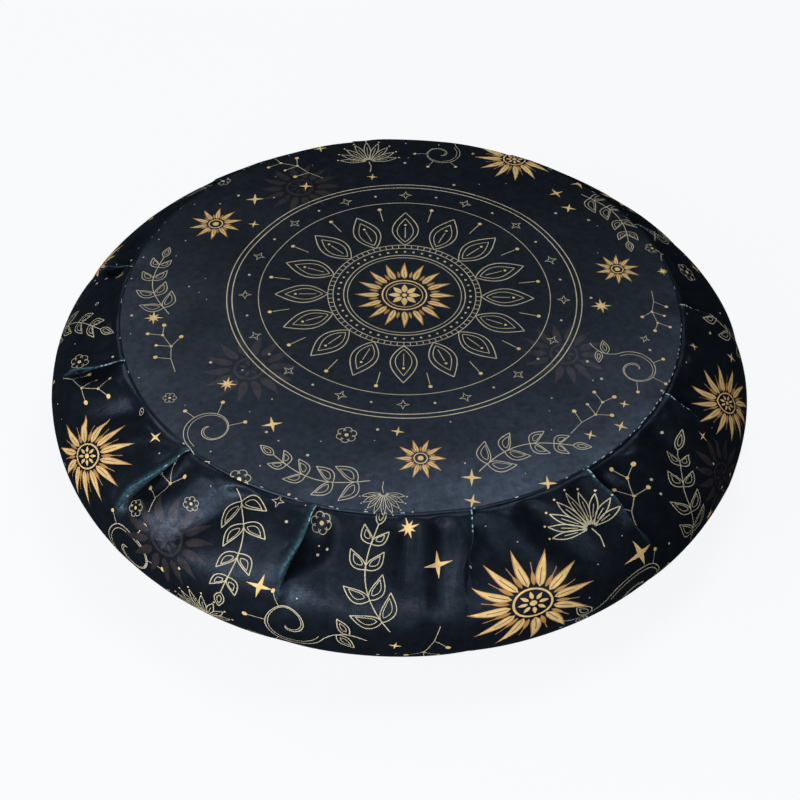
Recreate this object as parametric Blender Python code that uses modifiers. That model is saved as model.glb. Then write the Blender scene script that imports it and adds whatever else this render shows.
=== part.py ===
"""A round meditation cushion: a crowned top panel, a knife-pleated side band around
the filling, and a flat bottom panel. Metres, +Z up, standing on z = 0 at the origin."""

import math

import bmesh
import bpy

# Driving sizes
EQUATOR_RADIUS = 0.200
EQUATOR_HEIGHT = 0.042
TOP_SEAM_RADIUS = 0.160
TOP_SEAM_HEIGHT = 0.096
CROWN = 0.010
CROWN_POWER = 2.6
BOTTOM_SEAM_RADIUS = 0.152
CLOTH = 0.0016
GAP = 0.0003
BOTTOM_SEAM_HEIGHT = CLOTH + GAP

# The band leaves the top seam at this slope. The reaches are the handles of its two curves.
SEAM_SLOPE = math.radians(50)
SEAM_REACH = 0.022
UPPER_REACH = 0.026
LOWER_REACH = 0.024
HEM_REACH = 0.030
RIM_DRAW = 0.0014
RIM_WIDTH = 0.004

# Knife pleats, seen from outside with the left side folded over the right one.
# angle: at the top seam, from +X. drift: how far the fold turns on its way down. Both in degrees.
# stand: how proud the folded edge stands. dip: the trough beside it. length: how far it runs.
# spare: the cloth that hangs loose in the fold below the seam.
PLEAT_COLUMNS = ("angle", "drift", "stand", "dip", "length", "spare")
PLEATS = (
    (-168.3, -8.0, 0.0064, 0.0044, 0.054, 0.0024),
    (-138.2, -4.5, 0.0098, 0.0064, 0.064, 0.0036),
    (-108.3, -1.0, 0.0096, 0.0066, 0.064, 0.0036),
    (-77.9, 0.0, 0.0050, 0.0036, 0.044, 0.0008),
    (-51.5, 7.0, 0.0072, 0.0050, 0.064, 0.0024),
    (-23.8, 4.0, 0.0046, 0.0042, 0.050, 0.0020),
    (3.7, 5.0, 0.0048, 0.0038, 0.058, 0.0018),
    (30.5, 3.0, 0.0016, 0.0028, 0.040, 0.0006),
    (64.0, -1.5, 0.0008, 0.0026, 0.040, 0.0004),
    (98.0, 2.0, 0.0008, 0.0026, 0.040, 0.0004),
    (129.0, -2.0, 0.0010, 0.0028, 0.040, 0.0006),
    (162.0, -5.0, 0.0034, 0.0036, 0.044, 0.0014),
)
# How gently the cloth turns in a fold, at the seam and where the fold has opened.
FOLD_SOFTNESS = 0.0022
FOLD_OPENING = 0.0090
# Reaches of a fold: where it rises below the seam, and to its left and right.
SEWN_FLAT = 0.006
SEAM_EASE = 0.010
RISE_REACH = 0.022
LIFT_REACH = 0.026
TROUGH_REACH = 0.009
# Shares of a fold's stand: what it shows right at the seam, and its dip under the cushion.
SEAM_SHARE = 0.22
HEM_SHARE = 0.3
HEM_TROUGH = 0.013
HEM_FULL = 0.020
HEM_FADE = 0.030
# Shares of a fold's length at which it starts to fade and to open, and over which it does so.
FADE_FROM, FADE_OVER = 0.45, 0.60
OPEN_FROM, OPEN_OVER = 0.25, 0.85
LOOSE_UNTIL = 0.4
OPEN_ROOM = 1.1

# Soft puckers that run down from the top seam between the pleats.
# angle, drift and width in degrees, height over the band, and how far down each runs.
PUCKER_COLUMNS = ("angle", "drift", "width", "height", "length")
PUCKERS = (
    (-178.5, -3.0, 3.4, 0.0026, 0.060),
    (-174.0, -4.0, 2.6, -0.0026, 0.056),
    (-159.0, -8.0, 3.0, 0.0036, 0.066),
    (-152.5, -8.0, 2.6, -0.0036, 0.064),
    (-147.0, -6.0, 2.4, 0.0026, 0.056),
    (-133.0, -5.0, 1.6, 0.0018, 0.050),
    (-128.5, -7.0, 3.0, 0.0030, 0.074),
    (-121.0, -9.0, 3.0, -0.0046, 0.086),
    (-114.5, -7.0, 2.2, 0.0016, 0.060),
    (-101.5, 0.0, 1.3, -0.0018, 0.044),
    (-99.0, 0.5, 1.3, 0.0016, 0.060),
    (-93.5, 0.0, 1.6, 0.0012, 0.050),
    (-89.2, 0.0, 1.4, -0.0030, 0.050),
    (-86.4, 0.0, 1.3, 0.0022, 0.078),
    (-83.7, 0.5, 1.4, -0.0040, 0.088),
    (-80.6, 0.5, 1.3, 0.0024, 0.068),
    (-73.0, 3.0, 1.6, -0.0018, 0.050),
    (-69.0, 6.0, 1.9, 0.0034, 0.070),
    (-64.5, 5.0, 2.0, -0.0028, 0.066),
    (-60.0, 3.0, 1.5, 0.0016, 0.050),
    (-56.0, 1.0, 1.8, -0.0034, 0.054),
    (-46.0, 5.0, 1.7, -0.0020, 0.050),
    (-39.5, 4.0, 2.0, 0.0038, 0.050),
    (-34.0, 5.0, 2.0, -0.0034, 0.064),
    (-29.5, 4.0, 1.5, 0.0018, 0.050),
    (-16.0, 4.0, 1.8, -0.0022, 0.050),
    (-10.0, 3.0, 2.2, 0.0030, 0.058),
    (-4.0, 4.0, 2.0, -0.0028, 0.062),
    (12.0, 4.0, 2.0, -0.0020, 0.050),
    (19.0, 2.0, 2.6, 0.0012, 0.050),
    (25.0, 2.0, 2.0, -0.0014, 0.046),
    (47.0, -1.0, 2.8, -0.0014, 0.050),
    (79.0, 1.0, 3.0, 0.0006, 0.050),
    (85.0, 1.5, 2.2, -0.0012, 0.050),
    (112.0, 0.0, 2.8, -0.0014, 0.050),
    (118.0, 0.0, 2.2, 0.0006, 0.050),
    (146.0, -3.0, 3.0, 0.0012, 0.050),
    (153.0, -4.0, 2.2, -0.0018, 0.046),
)
PUCKER_FADE_FROM, PUCKER_FADE_OVER = 0.3, 0.7
PUCKER_CUT = 3

# Shallow hollows (or swells, where depth is negative) in the top panel, in metres.
DENT_COLUMNS = ("x", "y", "across", "along", "turn", "depth")
DENTS = (
    (-0.128, -0.012, 0.011, 0.034, 78.0, 0.0018),
    (-0.116, -0.062, 0.015, 0.040, 52.0, 0.0018),
    (-0.090, 0.070, 0.022, 0.046, -50.0, 0.0013),
    (0.020, -0.122, 0.016, 0.050, 4.0, -0.0011),
    (0.110, -0.060, 0.020, 0.040, -36.0, 0.0013),
    (0.086, 0.092, 0.020, 0.044, 40.0, -0.0010),
    (0.030, 0.020, 0.040, 0.060, 20.0, 0.0009),
)
DENT_RIM_POWER = 6

# Distances down the band, from the top seam, at which it has a ring of points, in millimetres.
BAND_STEPS = (0, 3, 7, 12, 18, 25, 33, 43, 56, 70, 84, 98, 112, 124, 132)
# Offsets of cloth either side of a fold at which the band has a point, in millimetres.
FOLD_STEPS = (0.9, 2.2, 4.0, 6.6, 10.5, 16, 23, 30, 37, 44)
PANEL_RINGS = (0.045, 0.085, 0.115, 0.136, 0.149, 0.156)
PANEL_STEPS = 84
# The rings' first point is turned this far, which keeps their points clear of the folds.
PANEL_TURN = math.radians(3)
BASE_STEPS = 96
CURVE_SAMPLES = 64
SHARP_ANGLE = math.radians(50)
# How much lower the filling lies than the gap under the top panel.
FILLING_DROP = 0.0002

PANEL_COLOUR = (0.016, 0.021, 0.033)
BAND_COLOUR = (0.010, 0.014, 0.024)
BASE_COLOUR = (0.012, 0.016, 0.026)
PANEL_ROUGHNESS = 0.62
BAND_ROUGHNESS = 0.55


def rows(columns, table):
    """The table's rows as dictionaries, by column name."""
    return [dict(zip(columns, row)) for row in table]


pleats = rows(PLEAT_COLUMNS, PLEATS)
puckers = rows(PUCKER_COLUMNS, PUCKERS)
dents = rows(DENT_COLUMNS, DENTS)


def smooth(value):
    """0 below 0, 1 above 1, and an even rise between."""
    value = min(max(value, 0.0), 1.0)
    return value * value * (3 - 2 * value)


def bezier(start, first, second, end, t):
    """The point at t of a cubic curve, and its direction."""
    a, b, c, d = (1 - t) ** 3, 3 * t * (1 - t) ** 2, 3 * t * t * (1 - t), t**3
    place = [a * p + b * q + c * r + d * s for p, q, r, s in zip(start, first, second, end)]
    a, b, c = 3 * (1 - t) ** 2, 6 * t * (1 - t), 3 * t * t
    way = [a * (q - p) + b * (r - q) + c * (s - r) for p, q, r, s in zip(start, first, second, end)]
    return place, way


def band_outline():
    """(distance from the top seam, radius, height, outward normal) down the band's side."""
    seam = (TOP_SEAM_RADIUS + GAP, TOP_SEAM_HEIGHT)
    middle = (EQUATOR_RADIUS, EQUATOR_HEIGHT)
    hem = (BOTTOM_SEAM_RADIUS + GAP, BOTTOM_SEAM_HEIGHT)
    leave = (
        seam[0] + SEAM_REACH * math.cos(SEAM_SLOPE),
        seam[1] - SEAM_REACH * math.sin(SEAM_SLOPE),
    )
    upper = (seam, leave, (middle[0], middle[1] + UPPER_REACH), middle)
    lower = (middle, (middle[0], middle[1] - LOWER_REACH), (hem[0] + HEM_REACH, hem[1]), hem)
    outline, far, last = [], 0.0, None
    for curve in (upper, lower):
        for step in range(CURVE_SAMPLES + 1):
            (radius, height), (across, down) = bezier(*curve, step / CURVE_SAMPLES)
            if last:
                far += math.dist(last, (radius, height))
            last = (radius, height)
            length = math.hypot(across, down)
            outline.append((far, radius, height, -down / length, across / length))
    return outline


outline = band_outline()
BAND_WIDTH = outline[-1][0]
EQUATOR_DOWN = outline[CURVE_SAMPLES][0]


def on_outline(down):
    """Radius, height and outward normal of the band's side, this far from the top seam."""
    for before, after in zip(outline, outline[1:]):
        if after[0] >= down and after[0] > before[0]:
            part = (down - before[0]) / (after[0] - before[0])
            return [a + (b - a) * part for a, b in zip(before[1:], after[1:])]
    return outline[-1][1:]


def turn(angle):
    """The angle in degrees brought between -180 and 180."""
    return (angle + 180) % 360 - 180


def hump(value):
    """1 at 0, falling away evenly on both sides."""
    return math.exp(-value * value)


def folded_edge(tuck, softness):
    """How far over the fold's middle its edge lies, where this much cloth is tucked in."""
    covered = max(tuck / softness, 1.0)
    return tuck * math.sqrt(1 - 1 / covered) - softness * math.acosh(math.sqrt(covered))


def fold_height(pleat, cloth, down, tuck, softness):
    """How far a fold lifts the band: proud on its left, with a trough on its right."""
    if down > EQUATOR_DOWN:
        # Pressed against the floor, the folds under the band are only shallow troughs.
        below = BAND_WIDTH - down
        shown = smooth(below / SEAM_EASE) * (1 - smooth((below - HEM_FULL) / HEM_FADE))
        return -HEM_SHARE * pleat["stand"] * shown * hump(cloth / HEM_TROUGH)
    length = pleat["length"]
    shown = SEAM_SHARE + (1 - SEAM_SHARE) * smooth(down / RISE_REACH)
    shown *= 1 - smooth((down - FADE_FROM * length) / (FADE_OVER * length))
    side = (1 - math.tanh(cloth / softness)) / 2
    lift = pleat["stand"] * side * hump(cloth / LIFT_REACH)
    beside = max(cloth - tuck - folded_edge(tuck, softness), 0)
    trough = pleat["dip"] * (1 - side) * hump(beside / TROUGH_REACH)
    return shown * (lift - trough * smooth(down / SEAM_EASE))


def pucker_height(angle, down):
    """How far the soft puckers lift the band."""
    total = 0.0
    for pucker in puckers:
        here = pucker["angle"] + pucker["drift"] * down / EQUATOR_DOWN
        across = turn(angle - here) / pucker["width"]
        if abs(across) < PUCKER_CUT:
            length = pucker["length"]
            fade = 1 - smooth((down - PUCKER_FADE_FROM * length) / (PUCKER_FADE_OVER * length))
            total += pucker["height"] * smooth(down / SEAM_EASE) * fade * hump(across)
    return total


def fold_softness(pleat, tuck, down):
    """How gently the cloth turns in a fold: tight near the top seam, open further down."""
    if down > EQUATOR_DOWN:
        return max(FOLD_OPENING, OPEN_ROOM * tuck)
    opened = smooth((down - OPEN_FROM * pleat["length"]) / (OPEN_OVER * pleat["length"]))
    tight = FOLD_SOFTNESS + (FOLD_OPENING - FOLD_SOFTNESS) * opened
    return max(tight, tuck * (1 - smooth(down / SEWN_FLAT)))


def loose_cloth(pleat, down):
    """The spare cloth in a fold, which swells below the seam and runs out at its end."""
    run_out = smooth(down / pleat["length"] - LOOSE_UNTIL)
    return pleat["spare"] * smooth(down / RISE_REACH) * (1 - run_out)


def band_point(index, cloth, down):
    """The band's point with this much cloth between it and the fold of a pleat."""
    pleat = pleats[index]
    other = pleats[(index + 1) % len(pleats)] if cloth > 0 else pleats[index - 1]
    radius, height, out, up = on_outline(down)
    half = math.radians(abs(turn(other["angle"] - pleat["angle"]))) / 2
    reach = half * EQUATOR_RADIUS
    share = abs(cloth) / reach
    loose = loose_cloth(pleat, down)
    tuck = (EQUATOR_RADIUS - radius) * half + loose
    softness = fold_softness(pleat, tuck, down)
    eased = (EQUATOR_RADIUS - radius) * cloth / EQUATOR_RADIUS + loose * cloth / reach
    folded = eased - tuck * math.tanh(cloth / softness) / math.tanh(reach / softness)
    # Half-way to the next pleat, the cloth turns as far as half of each pleat's drift.
    drift = pleat["drift"] + (other["drift"] - pleat["drift"]) / 2 * smooth(share)
    flat = pleat["angle"] + math.degrees(cloth / EQUATOR_RADIUS)
    angle = math.radians(flat + drift * smooth(down / EQUATOR_DOWN)) + folded / radius
    lift = fold_height(pleat, cloth, down, tuck, softness) + pucker_height(flat, down)
    radius += lift * out
    height += lift * up
    return radius * math.cos(angle), radius * math.sin(angle), height


def crown_height(x, y):
    """Height of the top panel's upper face."""
    share = math.hypot(x, y) / TOP_SEAM_RADIUS
    height = TOP_SEAM_HEIGHT + CROWN * (1 - share**CROWN_POWER)
    for dent in dents:
        turned = math.radians(dent["turn"])
        east, north = x - dent["x"], y - dent["y"]
        along = (east * math.cos(turned) + north * math.sin(turned)) / dent["along"]
        across = (north * math.cos(turned) - east * math.sin(turned)) / dent["across"]
        height -= dent["depth"] * hump(along) * hump(across) * (1 - share**DENT_RIM_POWER)
    return height - RIM_DRAW * hump((1 - share) * TOP_SEAM_RADIUS / RIM_WIDTH)


def ring(mesh, points):
    return [mesh.verts.new(point) for point in points]


def join_rings(mesh, first, second):
    for here in range(len(first)):
        there = (here + 1) % len(first)
        mesh.faces.new((first[here], second[here], second[there], first[there]))


def close_ring(mesh, edge, centre, upward):
    middle = mesh.verts.new(centre)
    for here in range(len(edge)):
        there = (here + 1) % len(edge)
        corners = (edge[here], edge[there], middle)
        mesh.faces.new(corners if upward else corners[::-1])


def round_points(radius, lower=0.0):
    """Evenly spaced points of a ring on the crowned top, or this far below it."""
    points = []
    for step in range(PANEL_STEPS):
        angle = PANEL_TURN + 2 * math.pi * step / PANEL_STEPS
        x, y = radius * math.cos(angle), radius * math.sin(angle)
        points.append((x, y, crown_height(x, y) - lower))
    return points


def finish(name, mesh, colour, roughness):
    """Makes the object, smooth-shaded, with its own material."""
    data = bpy.data.meshes.new(name)
    bmesh.ops.recalc_face_normals(mesh, faces=mesh.faces)
    mesh.to_mesh(data)
    mesh.free()
    data.shade_smooth()
    data.set_sharp_from_angle(angle=SHARP_ANGLE)
    item = bpy.data.objects.new(name, data)
    collection.objects.link(item)
    material = bpy.data.materials.new(name + "_cloth")
    material.use_nodes = True
    shader = material.node_tree.nodes["Principled BSDF"]
    shader.inputs["Base Color"].default_value = (*colour, 1)
    shader.inputs["Roughness"].default_value = roughness
    shader.inputs["Metallic"].default_value = 0
    data.materials.append(material)
    return item


def top_panel():
    """The round top: an open crowned sheet, given its thickness downwards."""
    mesh = bmesh.new()
    edge = ring(mesh, round_points(TOP_SEAM_RADIUS))
    for radius in reversed(PANEL_RINGS):
        inner = ring(mesh, round_points(radius))
        join_rings(mesh, edge, inner)
        edge = inner
    close_ring(mesh, edge, (0, 0, crown_height(0, 0)), upward=True)
    panel = finish("top_panel", mesh, PANEL_COLOUR, PANEL_ROUGHNESS)
    thick = panel.modifiers.new("Thickness", "SOLIDIFY")
    thick.thickness = CLOTH
    thick.offset = -1
    return panel


def side_band():
    """The pleated band and the filling it holds, from the top panel to the bottom one."""
    mesh = bmesh.new()
    columns = []
    for index, pleat in enumerate(pleats):
        columns += [(index, -step / 1000) for step in reversed(FOLD_STEPS)]
        columns += [(index, step / 1000) for step in FOLD_STEPS]
        after = pleats[(index + 1) % len(pleats)]
        half = math.radians(abs(turn(after["angle"] - pleat["angle"]))) / 2 * EQUATOR_RADIUS
        columns.append((index, half))
    distances = [step / 1000 for step in BAND_STEPS] + [BAND_WIDTH]
    rings = [ring(mesh, [band_point(*column, down) for column in columns]) for down in distances]
    for upper, lower in zip(rings, rings[1:]):
        join_rings(mesh, upper, lower)
    under_panel(mesh, rings[0])
    close_ring(mesh, rings[-1], (0, 0, BOTTOM_SEAM_HEIGHT), upward=False)
    return finish("side_band", mesh, BAND_COLOUR, BAND_ROUGHNESS)


def under_panel(mesh, seam):
    """The filling's crowned top, which lies just under the top panel."""
    lower = CLOTH + GAP + FILLING_DROP
    rim = ring(mesh, round_points(TOP_SEAM_RADIUS + GAP, lower))
    bmesh.ops.bridge_loops(mesh, edges=ring_edges(mesh, seam) + ring_edges(mesh, rim))
    for radius in reversed(PANEL_RINGS):
        inner = ring(mesh, round_points(radius, lower))
        join_rings(mesh, rim, inner)
        rim = inner
    close_ring(mesh, rim, (0, 0, crown_height(0, 0) - lower), upward=True)


def ring_edges(mesh, points):
    """The edges between neighbouring points of a ring, made where they are missing."""
    edges = []
    for here, vert in enumerate(points):
        pair = (vert, points[(here + 1) % len(points)])
        edges.append(mesh.edges.get(pair) or mesh.edges.new(pair))
    return edges


def bottom_panel():
    """The flat round panel that the cushion rests on."""
    mesh = bmesh.new()
    bmesh.ops.create_cone(
        mesh,
        cap_ends=True,
        segments=BASE_STEPS,
        radius1=BOTTOM_SEAM_RADIUS,
        radius2=BOTTOM_SEAM_RADIUS,
        depth=CLOTH,
    )
    bmesh.ops.translate(mesh, vec=(0, 0, CLOTH / 2), verts=mesh.verts)
    return finish("bottom_panel", mesh, BASE_COLOUR, PANEL_ROUGHNESS)


for old in list(bpy.data.objects):
    bpy.data.objects.remove(old)
collection = bpy.data.collections.new("meditation_cushion")
bpy.context.scene.collection.children.link(collection)
top_panel()
side_band()
bottom_panel()
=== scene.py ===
"""A round meditation cushion in printed velour: a crowned top panel sewn to a knife-pleated
side band, on a flat round base. Metres, +Z up. Cloth patterns are drawn flat, in millimetres."""

import math
import random

import bpy
import numpy as np
from mathutils import Matrix, Vector
from mathutils.geometry import delaunay_2d_cdt


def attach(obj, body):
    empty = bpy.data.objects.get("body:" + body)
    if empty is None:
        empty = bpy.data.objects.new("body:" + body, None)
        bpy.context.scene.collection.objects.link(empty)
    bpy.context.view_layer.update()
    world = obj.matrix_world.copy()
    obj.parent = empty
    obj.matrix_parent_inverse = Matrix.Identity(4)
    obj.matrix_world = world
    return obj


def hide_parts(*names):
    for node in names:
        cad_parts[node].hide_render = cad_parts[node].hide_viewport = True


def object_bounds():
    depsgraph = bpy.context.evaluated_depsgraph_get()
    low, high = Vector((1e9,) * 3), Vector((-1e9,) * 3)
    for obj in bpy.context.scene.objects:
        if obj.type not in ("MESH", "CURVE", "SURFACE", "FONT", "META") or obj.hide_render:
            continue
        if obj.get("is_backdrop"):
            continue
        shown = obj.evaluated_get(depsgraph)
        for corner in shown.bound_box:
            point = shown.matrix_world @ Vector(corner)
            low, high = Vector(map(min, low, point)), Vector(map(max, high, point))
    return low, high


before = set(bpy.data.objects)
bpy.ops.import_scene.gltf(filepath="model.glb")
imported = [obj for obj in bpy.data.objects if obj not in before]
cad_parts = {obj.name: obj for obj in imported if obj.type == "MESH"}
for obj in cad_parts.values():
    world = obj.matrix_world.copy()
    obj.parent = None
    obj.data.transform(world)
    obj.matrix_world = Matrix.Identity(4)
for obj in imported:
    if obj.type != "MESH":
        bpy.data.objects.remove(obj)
size_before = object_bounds()

# The cushion's driving sizes
EQUATOR_RADIUS = 0.200
EQUATOR_HEIGHT = 0.042
TOP_SEAM_RADIUS = 0.160
TOP_SEAM_HEIGHT = 0.096
CROWN = 0.010
CROWN_POWER = 2.6
BOTTOM_SEAM_RADIUS = 0.152
BOTTOM_SEAM_HEIGHT = 0.0032
# The band leaves the top seam at this slope. The reaches are the handles of its two curves.
SEAM_SLOPE = math.radians(50)
SEAM_REACH = 0.022
UPPER_REACH = 0.026
LOWER_REACH = 0.024
HEM_REACH = 0.030

# Knife pleats, seen from outside with the left side folded over the right one.
# angle: at the top seam, from +X. drift: how far the fold turns on its way down. Both in degrees.
# stand: how proud the folded edge stands. dip: the trough beside it. length: how far it runs.
# spare: the cloth that hangs loose in the fold below the seam. All in metres.
PLEAT_COLUMNS = ("angle", "drift", "stand", "dip", "length", "spare")
PLEATS = (
    (-168.3, -8.0, 0.0064, 0.0044, 0.054, 0.0024),
    (-138.2, -4.5, 0.0098, 0.0064, 0.064, 0.0036),
    (-108.3, -1.0, 0.0096, 0.0066, 0.064, 0.0036),
    (-77.9, 0.0, 0.0050, 0.0036, 0.044, 0.0008),
    (-51.5, 7.0, 0.0072, 0.0050, 0.064, 0.0024),
    (-23.8, 4.0, 0.0046, 0.0042, 0.050, 0.0020),
    (3.7, 5.0, 0.0048, 0.0038, 0.058, 0.0018),
    (30.5, 3.0, 0.0016, 0.0028, 0.040, 0.0006),
    (64.0, -1.5, 0.0008, 0.0026, 0.040, 0.0004),
    (98.0, 2.0, 0.0008, 0.0026, 0.040, 0.0004),
    (129.0, -2.0, 0.0010, 0.0028, 0.040, 0.0006),
    (162.0, -5.0, 0.0034, 0.0036, 0.044, 0.0014),
)
FOLD_SOFTNESS = 0.0017
FOLD_OPENING = 0.0085
# Reaches of a fold: where it rises below the seam, and to its left and right.
SEAM_EASE = 0.010
RISE_REACH = 0.022
LIFT_REACH = 0.026
TROUGH_REACH = 0.009
# A fold shows this share of its stand right at the seam.
SEAM_SHARE = 0.22
# Its dip under the cushion: a share of its stand, its reach, and how far from the hem it is
# full and fades.
HEM_SHARE = 0.3
HEM_TROUGH = 0.013
HEM_FULL, HEM_FADE = 0.020, 0.030
# Shares of a fold's length: where it starts to fade and to open and over which it does so, and
# where its spare cloth starts to run out.
FADE_FROM, FADE_OVER = 0.45, 0.60
OPEN_FROM, OPEN_OVER = 0.30, 0.80
LOOSE_UNTIL = 0.4
# Below the widest ring a fold turns at least this gently, as a share of its drawn-in cloth.
OPEN_ROOM = 1.1
# How far each seam draws the band's edge in, and how far from the seam that reaches.
SEAM_DRAW, SEAM_DRAW_REACH = 0.0022, 0.0016
HEM_DRAW, HEM_DRAW_REACH = 0.0012, 0.0024
# The roll of cloth on a folded edge: its reach over the flap and back under it, its height as
# a share of the stand, its rise below the seam, and the shares of the length where it fades.
ROLL_WIDTH, ROLL_BACK = 0.0032, 0.0010
ROLL_SHARE = 0.16
ROLL_RISE = 0.006
ROLL_FROM, ROLL_OVER = 0.55, 0.4
# The hollow beside the roll: its share of the roll's height, its distance and its width.
HOLLOW_SHARE, HOLLOW_BESIDE, HOLLOW_WIDTH = 0.6, 0.0080, 0.0042
# How far the rubbed pile and painted sheen reach beside the proudest folded edge, and beside the
# least.
PROUDEST = 0.0098
WORN_AND_SHEEN_WIDTH, LEAST_WORN_AND_SHEEN = 0.0034, 0.0009

# Soft puckers between the pleats: angle, drift and width in degrees, height and length in metres.
PUCKERS = (
    (-178.5, -3.0, 3.4, 0.0026, 0.060), (-174.0, -4.0, 2.6, -0.0026, 0.056),
    (-159.0, -8.0, 3.0, 0.0036, 0.066), (-152.5, -8.0, 2.6, -0.0036, 0.064),
    (-147.0, -6.0, 2.4, 0.0026, 0.056), (-133.0, -5.0, 1.6, 0.0018, 0.050),
    (-128.5, -7.0, 3.0, 0.0030, 0.074), (-121.0, -9.0, 3.0, -0.0046, 0.086),
    (-114.5, -7.0, 2.2, 0.0016, 0.060), (-101.5, 0.0, 1.3, -0.0018, 0.044),
    (-99.0, 0.5, 1.3, 0.0016, 0.060), (-93.5, 0.0, 1.6, 0.0012, 0.050),
    (-89.2, 0.0, 1.4, -0.0030, 0.050), (-86.4, 0.0, 1.3, 0.0022, 0.078),
    (-83.7, 0.5, 1.4, -0.0040, 0.088), (-80.6, 0.5, 1.3, 0.0024, 0.068),
    (-73.0, 3.0, 1.6, -0.0018, 0.050), (-69.0, 6.0, 1.9, 0.0034, 0.070),
    (-64.5, 5.0, 2.0, -0.0028, 0.066), (-60.0, 3.0, 1.5, 0.0016, 0.050),
    (-56.0, 1.0, 1.8, -0.0034, 0.054), (-46.0, 5.0, 1.7, -0.0020, 0.050),
    (-39.5, 4.0, 2.0, 0.0038, 0.050), (-34.0, 5.0, 2.0, -0.0034, 0.064),
    (-29.5, 4.0, 1.5, 0.0018, 0.050), (-16.0, 4.0, 1.8, -0.0022, 0.050),
    (-10.0, 3.0, 2.2, 0.0030, 0.058), (-4.0, 4.0, 2.0, -0.0028, 0.062),
    (12.0, 4.0, 2.0, -0.0020, 0.050), (19.0, 2.0, 2.6, 0.0012, 0.050),
    (25.0, 2.0, 2.0, -0.0014, 0.046), (47.0, -1.0, 2.8, -0.0014, 0.050),
    (79.0, 1.0, 3.0, 0.0006, 0.050), (85.0, 1.5, 2.2, -0.0012, 0.050),
    (112.0, 0.0, 2.8, -0.0014, 0.050), (118.0, 0.0, 2.2, 0.0006, 0.050),
    (146.0, -3.0, 3.0, 0.0012, 0.050), (153.0, -4.0, 2.2, -0.0018, 0.046),
)
# Shares of a pucker's length at which it starts to fade, and over which it does so.
PUCKER_FADE_FROM, PUCKER_FADE_OVER = 0.3, 0.7

# Shallow hollows (or swells, where depth is negative) in the top panel: x, y, width across and
# along, turn in degrees and depth. The rest is in metres.
DENTS = (
    (-0.128, -0.012, 0.011, 0.034, 78.0, 0.0018),
    (-0.116, -0.062, 0.015, 0.040, 52.0, 0.0018),
    (-0.090, 0.070, 0.022, 0.046, -50.0, 0.0013),
    (0.020, -0.122, 0.016, 0.050, 4.0, -0.0011),
    (0.110, -0.060, 0.020, 0.040, -36.0, 0.0013),
    (0.086, 0.092, 0.020, 0.044, 40.0, -0.0010),
    (0.030, 0.020, 0.040, 0.060, 20.0, 0.0009),
)
DENT_RIM_POWER = 6

# The band's cloth stays this far above the floor.
FLOOR_CLEARANCE = 0.0005

# The flat band's length is measured in mm along the widest ring.
STRIP_RADIUS = 1000 * EQUATOR_RADIUS
GIRTH = 2 * math.pi * STRIP_RADIUS

# Inks of the print. CLOTH paints the ground again over a motif, and the pale dash ink stands
# partly for stitching, partly for painted highlights.
CLOTH, GOLD, CREAM, GHOST, THREAD_AND_HIGHLIGHT, AMBER = range(6)
THIN = 0.58
HAIR = 0.42


pleats = [dict(zip(PLEAT_COLUMNS, row)) for row in PLEATS]


def smooth(value):
    """0 below 0, 1 above 1, and an even rise between. For numbers and arrays."""
    value = np.clip(value, 0.0, 1.0)
    return value * value * (3 - 2 * value)


def hump(value):
    """1 at 0, falling away evenly on both sides."""
    return np.exp(-value * value)


def turned(angle):
    """The angle in degrees brought between -180 and 180."""
    return (angle + 180) % 360 - 180


def angle_between(pleat, other):
    """The angle in degrees from one pleat to another."""
    return abs(turned(other["angle"] - pleat["angle"]))


def strip_at(angle):
    """The place on the flat band of an angle in degrees."""
    return math.radians(angle) * STRIP_RADIUS


def polar(radius, angle):
    """x and y at this distance and angle from the origin."""
    return radius * np.cos(angle), radius * np.sin(angle)


def unit(vectors):
    """The vectors brought to a length of 1."""
    return vectors / np.maximum(np.linalg.norm(vectors, axis=-1, keepdims=True), 1e-12)


# The shapes of the cloths


def bezier(start, first, second, end, t):
    """The point at t of a cubic curve, and its direction."""
    a, b, c, d = (1 - t) ** 3, 3 * t * (1 - t) ** 2, 3 * t * t * (1 - t), t**3
    place = [a * p + b * q + c * r + d * s for p, q, r, s in zip(start, first, second, end)]
    a, b, c = 3 * (1 - t) ** 2, 6 * t * (1 - t), 3 * t * t
    way = [a * (q - p) + b * (r - q) + c * (s - r) for p, q, r, s in zip(start, first, second, end)]
    return place, way


CURVE_SAMPLES = 120


def band_outline():
    """Columns of distance from the top seam, radius, height and outward normal."""
    seam = (TOP_SEAM_RADIUS, TOP_SEAM_HEIGHT)
    middle = (EQUATOR_RADIUS, EQUATOR_HEIGHT)
    hem = (BOTTOM_SEAM_RADIUS, BOTTOM_SEAM_HEIGHT)
    leave = (
        seam[0] + SEAM_REACH * math.cos(SEAM_SLOPE),
        seam[1] - SEAM_REACH * math.sin(SEAM_SLOPE),
    )
    upper = (seam, leave, (middle[0], middle[1] + UPPER_REACH), middle)
    lower = (middle, (middle[0], middle[1] - LOWER_REACH), (hem[0] + HEM_REACH, hem[1]), hem)
    outline, far, last = [], 0.0, None
    for curve in (upper, lower):
        for step in range(1 if last else 0, CURVE_SAMPLES + 1):
            (radius, height), (across, down) = bezier(*curve, step / CURVE_SAMPLES)
            if last:
                far += math.dist(last, (radius, height))
            last = (radius, height)
            length = math.hypot(across, down)
            outline.append((far, radius, height, -down / length, across / length))
    return np.array(outline).T


outline = band_outline()
BAND_WIDTH = outline[0, -1]
EQUATOR_DOWN = outline[0, CURVE_SAMPLES]


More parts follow.
